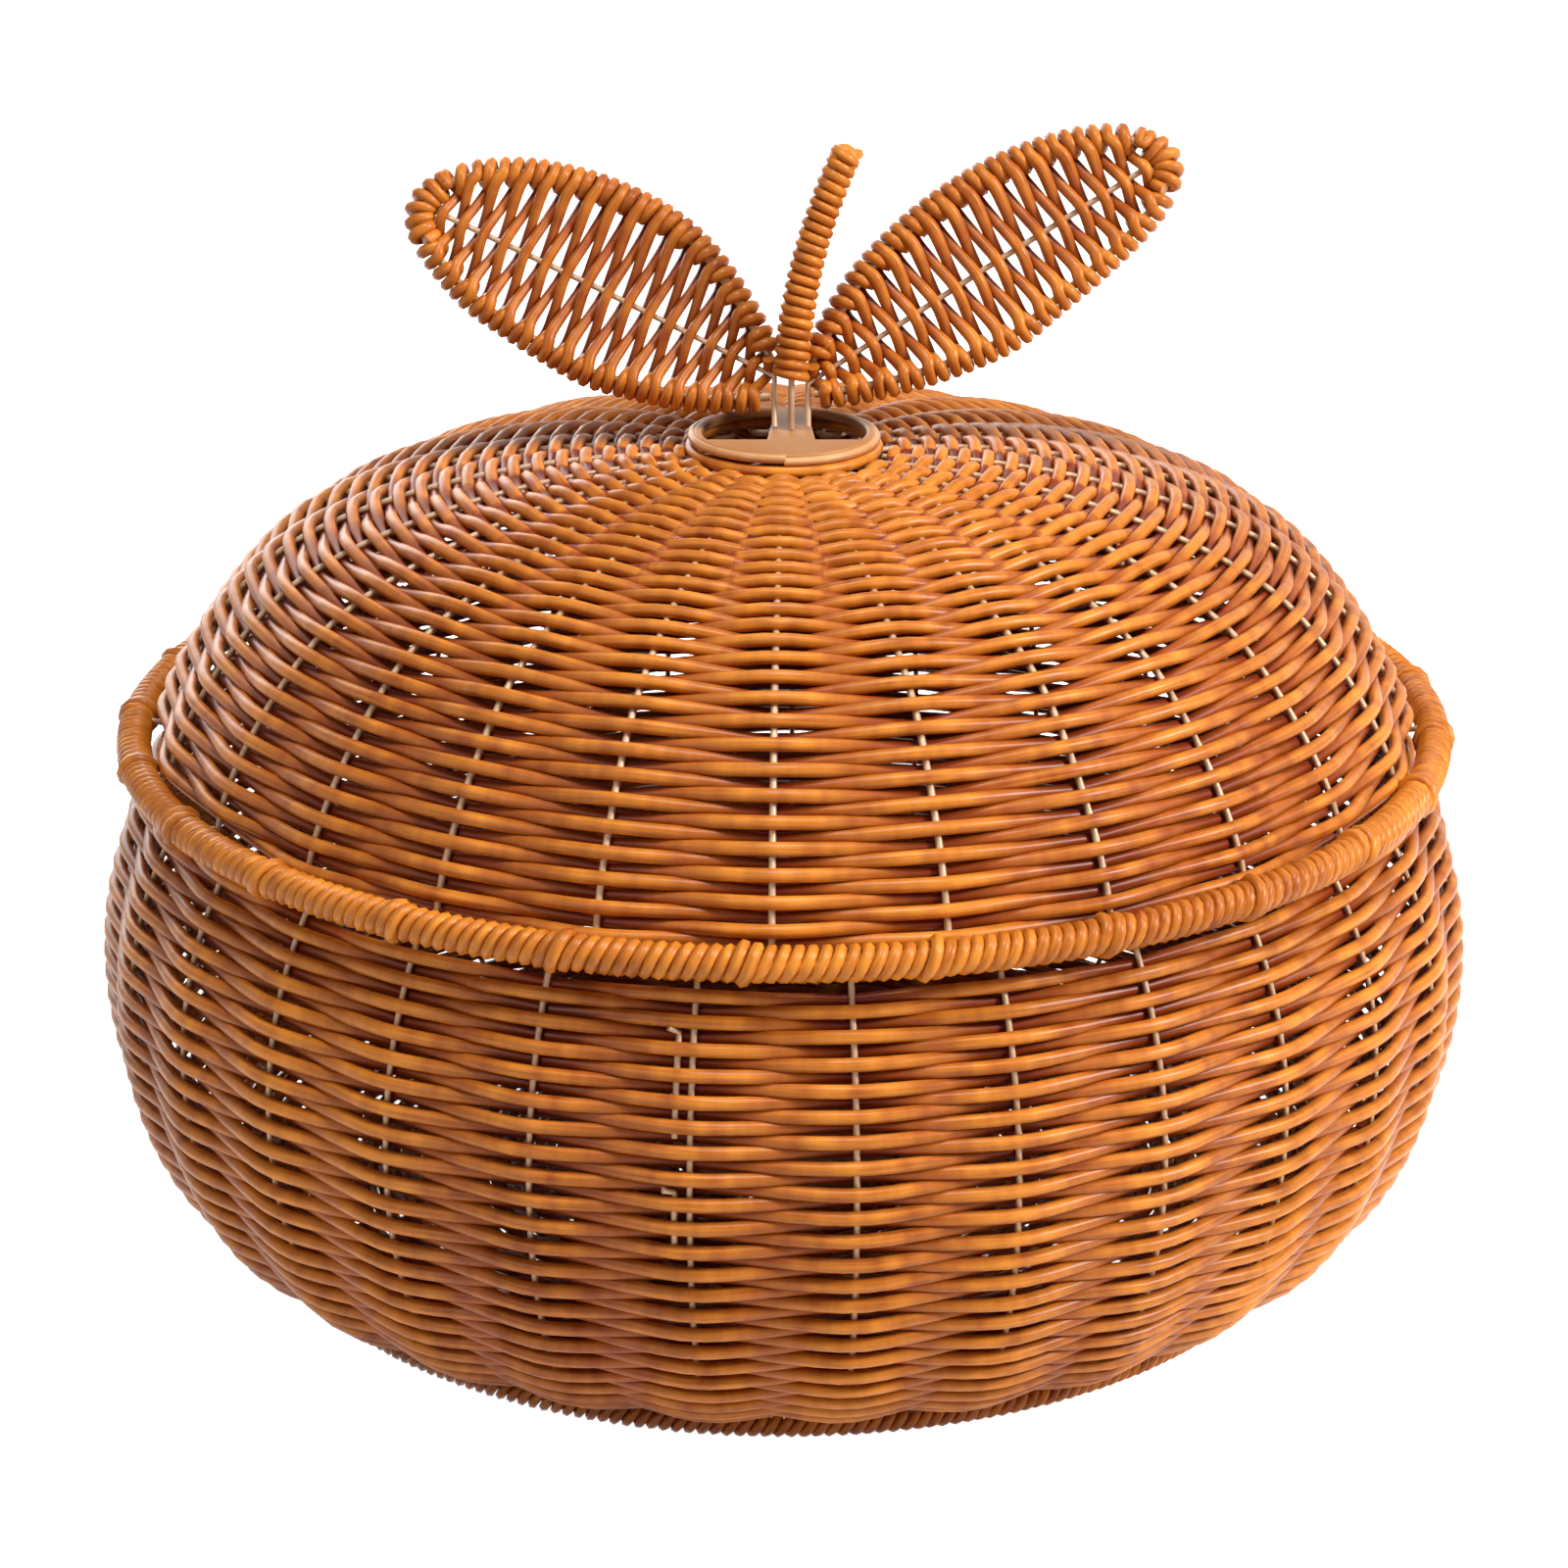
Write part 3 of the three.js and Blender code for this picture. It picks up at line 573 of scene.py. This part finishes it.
open_end = maths("SUBTRACT", 1.0, given["Closed"])
helix = node("GeometryNodeMeshLine", {"Count": maths("ADD", points, open_end)}).outputs[0]
helix = node("GeometryNodeSetPosition", {"Geometry": helix, "Position": at_coil}).outputs[0]
helix = node("GeometryNodeMeshToCurve", {"Mesh": helix}).outputs[0]
helix = node("GeometryNodeSetSplineCyclic", {"Geometry": helix, "Cyclic": given["Closed"]}).outputs[0]
cane_skin(wound_cane, helix, given["Cane Radius"], given["Cane"], sides=6)


def circle(radius, height, points=240):
    """A level ring of points round the basket's axis, in metres."""
    return [(radius * cos(tau * i / points) * mm, radius * sin(tau * i / points) * mm, height * mm)
            for i in range(points)]


def wind_ring(name, body, ring, wrap_radius, cane_radius, coils, stakes, first_bump, bump, seed):
    """The cane wound round one ring of wire."""
    coil_radius = (wrap_radius - cane_radius) * mm
    piece = grow(name, wound_cane, circle(*ring), ring=True, coils=coils, steps=12,
                 start_radius=coil_radius, end_radius=coil_radius, lean=0.35, up=(0, 0, 1),
                 bumps=stakes, first_bump=first_bump / 360 * stakes, bump_height=bump * mm,
                 unevenness=0.25 * mm, closed=True, cane_radius=cane_radius * mm, seed=seed,
                 cane=orange_cane)
    fit(piece, body, "orange_cane", name.replace("_coils", "_wrap"))


lid_rim = (137.2, 111.43)
bowl_rim = (129.9, 107.2)
foot = (112.0, 2.92)
wind_ring("lid_rim_coils", "lid", lid_rim, 3.75, 1.3, 338, lid_stakes, lid_first_stake - 2, 0.8, 0.0)
wind_ring("bowl_rim_coils", "bowl", bowl_rim, 2.7, 1.05, 385, bowl_stakes, bowl_first_stake - 2, 0.2, 40.0)
wind_ring("foot_ring_coils", "bowl", foot, 2.78, 1.05, 280, bowl_stakes, bowl_first_stake, 0.0, 80.0)

for name, body, ring, wire_radius in (("lid_rim_wire", "lid", lid_rim, 1.8),
                                      ("bowl_rim_wire", "bowl", bowl_rim, 0.6),
                                      ("foot_ring_wire", "bowl", foot, 0.9)):
    fit(bend_wire(name + "_core", circle(*ring, 144), wire_radius, pale_wire, ring=True),
        body, "pale_wire", name)

# Hub plate, its closing cane and the plate of the base
# The hub is one tan moulding with two windows beside a bridge. The weave starts with a cane laid
# flat round it, under the tan cane that closes it. A plain disc of the same plastic is in the base.
hub_radius = 18.9
hub_bottom = 171.93
hub_thickness = 2.2
hub_top = hub_bottom + hub_thickness
window_radius = 17.2
window_front = -6.9
bridge_middle = 1.5
bridge_front_half = 5.1
bridge_back_half = 3.3
base_plate_bottom = 8.7
base_plate_thickness = 3.0
plate_edge = 0.6

tan_moulding = bpy.data.materials.new("speckled_tan_moulding")
tree = fresh_tree(tan_moulding)
where = add_node(tree, "ShaderNodeTexCoord").outputs["Object"]
flow = add_node(tree, "ShaderNodeTexNoise", {"Vector": where, "Scale": 55.0, "Detail": 4.0}).outputs[0]
speck = add_node(tree, "ShaderNodeTexNoise", {"Vector": where, "Scale": 700.0, "Detail": 2.0}).outputs[0]
tint = add_node(tree, "ShaderNodeMix", {
    0: flow,
    6: (0.307, 0.12, 0.036, 1),
    7: (0.484, 0.223, 0.072, 1),
}, data_type="RGBA")
plate_bump = add_node(tree, "ShaderNodeBump", {"Height": speck, "Strength": 0.3, "Distance": 0.0002})
plate_skin = add_node(tree, "ShaderNodeBsdfPrincipled", {
    "Base Color": tint.outputs[2],
    "Roughness": calc(tree, "MULTIPLY_ADD", speck, 0.2, 0.35),
    "Normal": plate_bump.outputs[0],
    "Specular IOR Level": 0.3,
})
add_node(tree, "ShaderNodeOutputMaterial", {"Surface": plate_skin.outputs[0]})


def window(side):
    """Outline of one window: a straight front edge, the bridge's flank and the ring's inner edge."""
    front_x = bridge_middle + side * bridge_front_half
    back_x = bridge_middle + side * bridge_back_half
    start = Vector((side * sqrt(window_radius ** 2 - window_front ** 2), window_front))
    back = Vector((back_x, sqrt(window_radius ** 2 - back_x ** 2)))
    spread = start.angle_signed(back)
    points = [(front_x, window_front)]
    for i in range(17):
        turn_angle = -spread * i / 16
        points.append((start.x * cos(turn_angle) - start.y * sin(turn_angle),
                       start.x * sin(turn_angle) + start.y * cos(turn_angle)))
    return points


def moulded_plate(name, outlines, bottom, thickness):
    """A flat plate with rounded edges, cut from closed outlines."""
    sketch = bpy.data.curves.new(name, "CURVE")
    sketch.dimensions = "2D"
    sketch.fill_mode = "BOTH"
    sketch.extrude = (thickness / 2 - plate_edge) * mm
    sketch.bevel_depth = plate_edge * mm
    sketch.bevel_resolution = 2
    sketch.offset = -plate_edge * mm
    for outline in outlines:
        spline = sketch.splines.new("POLY")
        spline.points.add(len(outline) - 1)
        for point, (x, y) in zip(spline.points, outline):
            point.co = (x * mm, y * mm, 0, 1)
        spline.use_cyclic_u = True
    holder = bpy.data.objects.new(name, sketch)
    scene.collection.objects.link(holder)
    bpy.context.view_layer.update()
    plate = bpy.data.meshes.new_from_object(holder)
    bpy.data.objects.remove(holder)
    for vertex in plate.vertices:
        vertex.co.z += (bottom + thickness / 2) * mm
    plate.materials.clear()
    plate.materials.append(tan_moulding)
    piece = bpy.data.objects.new(name, plate)
    scene.collection.objects.link(piece)
    return piece


def disc(radius, points=96):
    """The round outline of a plate, in millimetres."""
    return [(radius * cos(tau * i / points), radius * sin(tau * i / points)) for i in range(points)]


fit(moulded_plate("hub", [disc(hub_radius), window(-1), window(1)], hub_bottom, hub_thickness),
    "lid", "tan_moulding", "hub_plate")
fit(moulded_plate("base_plate", [disc(base_plate_radius)], base_plate_bottom, base_plate_thickness),
    "bowl", "tan_moulding", "base_centre_plate")

tan_cane = cane_material("streaked_tan_cane", (0.66, 0.34, 0.14), (0.42, 0.18, 0.06), 0.9)
closing_radius = 19.2
closing_height = 172.95
closing_rise = 0.6
closing_cane_radius = 0.95
weave_start = (19.5, 170.6)
weave_start_radius = 1.25
closing_line = [(closing_radius * cos(a) * mm, closing_radius * sin(a) * mm, (closing_height + rise) * mm)
                for a, rise in ((radians(-90 + 361 * i / 120), closing_rise * (i / 120 - 0.5))
                                for i in range(121))]
fit(bend_wire("closing_cane", closing_line, closing_cane_radius, tan_cane),
    "lid", "tan_cane", "hub_closing_cane")
fit(bend_wire("lid_weave_start", circle(*weave_start, 96), weave_start_radius, orange_cane, ring=True),
    "lid", "orange_cane", "lid_weaver")

# Stem
# A thick wire stands on the bridge and curves to the right, wound with cane from the leaves to its
# tip in 22 coils. The winding narrows from 8 mm at its foot to 6.9 mm, and ends folded over the tip.
stem_cane_radius = 1.15
stem_wire_radius = 0.7
fold_cane_radius = 1.1
stem_foot = (1.5 * mm, 0, (hub_top + 0.3) * mm)


def stem_at(t):
    """The stem's curve from the first coil to the tip, in millimetres."""
    neck, pull, tip = (1.5, hub_top + 11.4), (2.4, hub_top + 36), (13.1, hub_top + 59.1)
    return tuple((1 - t) ** 2 * a + 2 * t * (1 - t) * b + t * t * c for a, b, c in zip(neck, pull, tip))


stem_line = [(x * mm, 0, z * mm) for x, z in (stem_at(i / 24) for i in range(25))]
fit(bend_wire("stem_core", [stem_foot] + stem_line, stem_wire_radius, pale_wire),
    "lid", "pale_wire", "stem_wire")
fit(grow("stem_coils", wound_cane, stem_line, coils=22, steps=16, start_radius=2.85 * mm,
         end_radius=2.3 * mm, lean=0.25, up=(0, -1, 0), bumps=1, first_bump=0.5, bump_height=0.0,
         unevenness=0.3 * mm, closed=False, cane_radius=stem_cane_radius * mm, seed=9.0, cane=orange_cane),
    "lid", "orange_cane", "stem_wrap")


def tip_fold(depth):
    """The cane's end folded over the stem's tip, in front of its axis or behind it."""
    fold_radius = 2.0
    below_tip = 2.3
    (x0, z0), (x1, z1) = stem_at(0.97), stem_at(1.0)
    rise = Vector((x1 - x0, 0, z1 - z0)).normalized()
    side_step = Vector((rise.z, 0, -rise.x))
    middle = Vector((x1, depth, z1)) - rise * below_tip
    return [tuple((middle + rise * (fold_radius * sin(a)) + side_step * (fold_radius * cos(a))) * mm)
            for a in (radians(-25 + 230 * i / 12) for i in range(13))]


for place, depth in (("front", -1.1), ("back", 1.1)):
    fit(bend_wire("stem_tip_" + place, tip_fold(depth), fold_cane_radius, orange_cane),
        "lid", "orange_cane", "stem_wrap")

# Leaves
# Each leaf is a loop of wire with a midrib wire, both standing on the bridge and leaning back. One
# cane laces it from edge to edge, over and under the midrib, and winds round the loop at each turn.
laced_cane, given = start_tree("laced cane", [("Cane", "Material")])
node, maths, vector = tools_for(laced_cane)
line = node("GeometryNodeMeshToCurve", {"Mesh": given["Geometry"]}).outputs[0]
line = node("GeometryNodeCurveSplineType", {"Curve": line}, spline_type="CATMULL_ROM").outputs[0]
line = node("GeometryNodeSetSplineResolution", {"Geometry": line, "Resolution": 3}).outputs[0]
thickness = node("GeometryNodeInputNamedAttribute", {"Name": "thickness"}, data_type="FLOAT").outputs[0]
cane_skin(laced_cane, line, thickness, given["Cane"], sides=7)

leaf_lean = radians(20)
leaf_rise = Vector((0, sin(leaf_lean), cos(leaf_lean)))
leaf_face = Vector((0, -cos(leaf_lean), sin(leaf_lean)))
leaf_wire_radius = 0.65
loop_radius = 0.95
edge_cane_radius = 1.3


def smooth_through(points, spans=6):
    """A smooth line through points of a plane, with even steps between them."""
    line = []
    last = len(points) - 1
    for i in range(last):
        before, start, end, after = (Vector(points[min(max(k, 0), last)]) for k in (i - 1, i, i + 1, i + 2))
        for step in range(spans):
            t = step / spans
            line.append(0.5 * (2 * start + (end - before) * t
                               + (2 * before - 5 * start + 4 * end - after) * t * t
                               + (3 * start - before - 3 * end + after) * t ** 3))
    return line + [Vector(points[-1])]


def build_leaf(name, side, angle, start, upper, tip, lower, pairs, arm_radius):
    """One leaf from its loop's upper and lower edge, given from root to tip along and across it."""
    axis = Vector((side * cos(angle), 0, 0)) + leaf_rise * sin(angle)
    across = leaf_face.cross(axis) * side
    foot_point = Vector((bridge_middle + side * 3.5, 0, hub_top + 0.3 + loop_radius * sin(leaf_lean)))
    root = foot_point + leaf_rise * start

    def at(u, w, out=0.0):
        """A point along, across and out of the leaf, in metres."""
        return tuple((root + axis * u + across * w + leaf_face * out) * mm)

    loop = smooth_through(upper + [tip] + lower[::-1])
    half = (len(loop) - 1) // 2
    edges = {1: loop[:half + 1], -1: loop[half:][::-1]}

    def edge_at(u, edge_side):
        """The loop's point at a length along the leaf, and the direction out of the leaf there."""
        edge = edges[edge_side]
        for a, b in zip(edge, edge[1:]):
            if a.x <= u <= b.x and b.x > a.x:
                along_edge = (b - a).normalized()
                return a.lerp(b, (u - a.x) / (b.x - a.x)), Vector((-along_edge.y, along_edge.x)) * edge_side
        return edge[-1], Vector((0, edge_side))

    fit(bend_wire(name + "_leaf_loop", [at(p.x, p.y) for p in loop], loop_radius, pale_wire),
        "lid", "pale_wire", name + "_leaf_edge_wire")
    rib = [tuple(foot_point * mm), at(0, 0), at(tip[0] * 0.5, 0.4), at(tip[0] - 2.5, tip[1])]
    fit(bend_wire(name + "_leaf_rib", rib, leaf_wire_radius, pale_wire),
        "lid", "pale_wire", name + "_leaf_midrib")

    hold = loop_radius + edge_cane_radius
    mid_hold = leaf_wire_radius + arm_radius
    lace, widths, painted_shades = [], [], []

    # Each lacing point also carries a share of painted shade for the cane's colour.
    def add_point(place, radius, tucked):
        lace.append(place)
        widths.append(radius * mm)
        painted_shades.append(tucked)

    def coil_point(on_wire, out_of_leaf, turn_angle):
        """A point of a coil round the loop, 0 at its outer side."""
        reach_out = out_of_leaf * (hold * cos(turn_angle))
        place = at(on_wire.x + reach_out.x, on_wire.y + reach_out.y, hold * sin(turn_angle))
        # The coils round the loop get a little painted shade.
        add_point(place, edge_cane_radius, 0.15)

    first_u = 2.0
    pitch = (tip[0] - 5.0) / pairs
    drift = 0.14 * pitch
    arm_steps = ((0.8, 1), (0.42, 0), (0.0, -1), (-0.42, 0), (-0.8, 1))
    coil_steps = (-0.02, 0.0, 0.1, 0.25, 0.4, 0.5, 0.52)
    for pair in range(pairs):
        for from_side in (1, -1):
            u = first_u + pitch * (pair + (from_side < 0) / 2)
            for share_across, lean in arm_steps:
                arm_u = u + drift * lean * from_side
                reach_to = from_side if share_across > 0 else -from_side
                width = abs(edge_at(arm_u, reach_to)[0].y)
                over = from_side * max(-1.0, min(1.0, (abs(share_across) - 0.4) * 2.5))
                thick = arm_radius * (1.15 if abs(share_across) > 0.7 else 1.0)
                crossing = at(arm_u, from_side * share_across * width, over * mid_hold)
                # Arms get more painted shade where they lie behind the leaf's middle and less where they lie
                # in front.
                add_point(crossing, thick, 0.55 - 0.4 * over)
            for k, ahead in enumerate(coil_steps):
                coil_point(*edge_at(u + pitch * ahead, -from_side), from_side * (pi / 2 - k * pi / 2))

    last_u = first_u + pitch * pairs
    over_tip = ([p for p in edges[1] if p.x > last_u + 0.3]
                + [p for p in edges[-1][::-1] if p.x > last_u - 0.3 * pitch][1:])
    lengths = [0.0]
    for a, b in zip(over_tip, over_tip[1:]):
        lengths.append(lengths[-1] + (b - a).length)
    tip_coil_pitch = 2.45
    tip_coils = round(lengths[-1] / tip_coil_pitch)
    for i in range(tip_coils * 6 + 1):
        reached = lengths[-1] * i / (tip_coils * 6)
        k = max(j for j in range(len(over_tip) - 1) if lengths[j] <= reached)
        on_wire = over_tip[k].lerp(over_tip[k + 1], (reached - lengths[k]) / (lengths[k + 1] - lengths[k]))
        along_loop = (over_tip[k + 1] - over_tip[k]).normalized()
        coil_point(on_wire, Vector((-along_loop.y, along_loop.x)), pi / 2 - tau * i / 6)
    lacing = grow(name + "_leaf_lacing", laced_cane, lace, marks={"thickness": widths, "tucked": painted_shades},
                  cane=orange_cane)
    fit(lacing, "lid", "orange_cane", name + "_leaf_weave")


build_leaf("left", -1, radians(26), 10.5,
           upper=[(0, 1.2), (6, 5.6), (15, 11.6), (25, 16.8), (35, 19.3),
                  (45, 19.5), (55, 18.3), (65, 15.4), (74, 10.5), (79.5, 5)],
           tip=(81.5, 0),
           lower=[(-1, -4), (5, -7.5), (14, -11.5), (25, -14.2), (35, -16),
                  (45, -15.4), (54, -14.3), (64, -12.6), (74, -8.3), (79.5, -4.5)],
           pairs=16, arm_radius=1.13)
build_leaf("right", 1, radians(32.5), 9,
           upper=[(0, 1.5), (10, 7), (21, 12.4), (34.5, 15.7), (46, 16.8),
                  (58, 16.3), (69, 14), (77, 11), (84, 6.5)],
           tip=(88, 0),
           lower=[(0, -2.5), (8, -6.3), (18, -9.8), (29, -12.6), (41, -14.3),
                  (52.7, -13), (64, -11.6), (77, -8.8), (85, -5)],
           pairs=16, arm_radius=1.28)
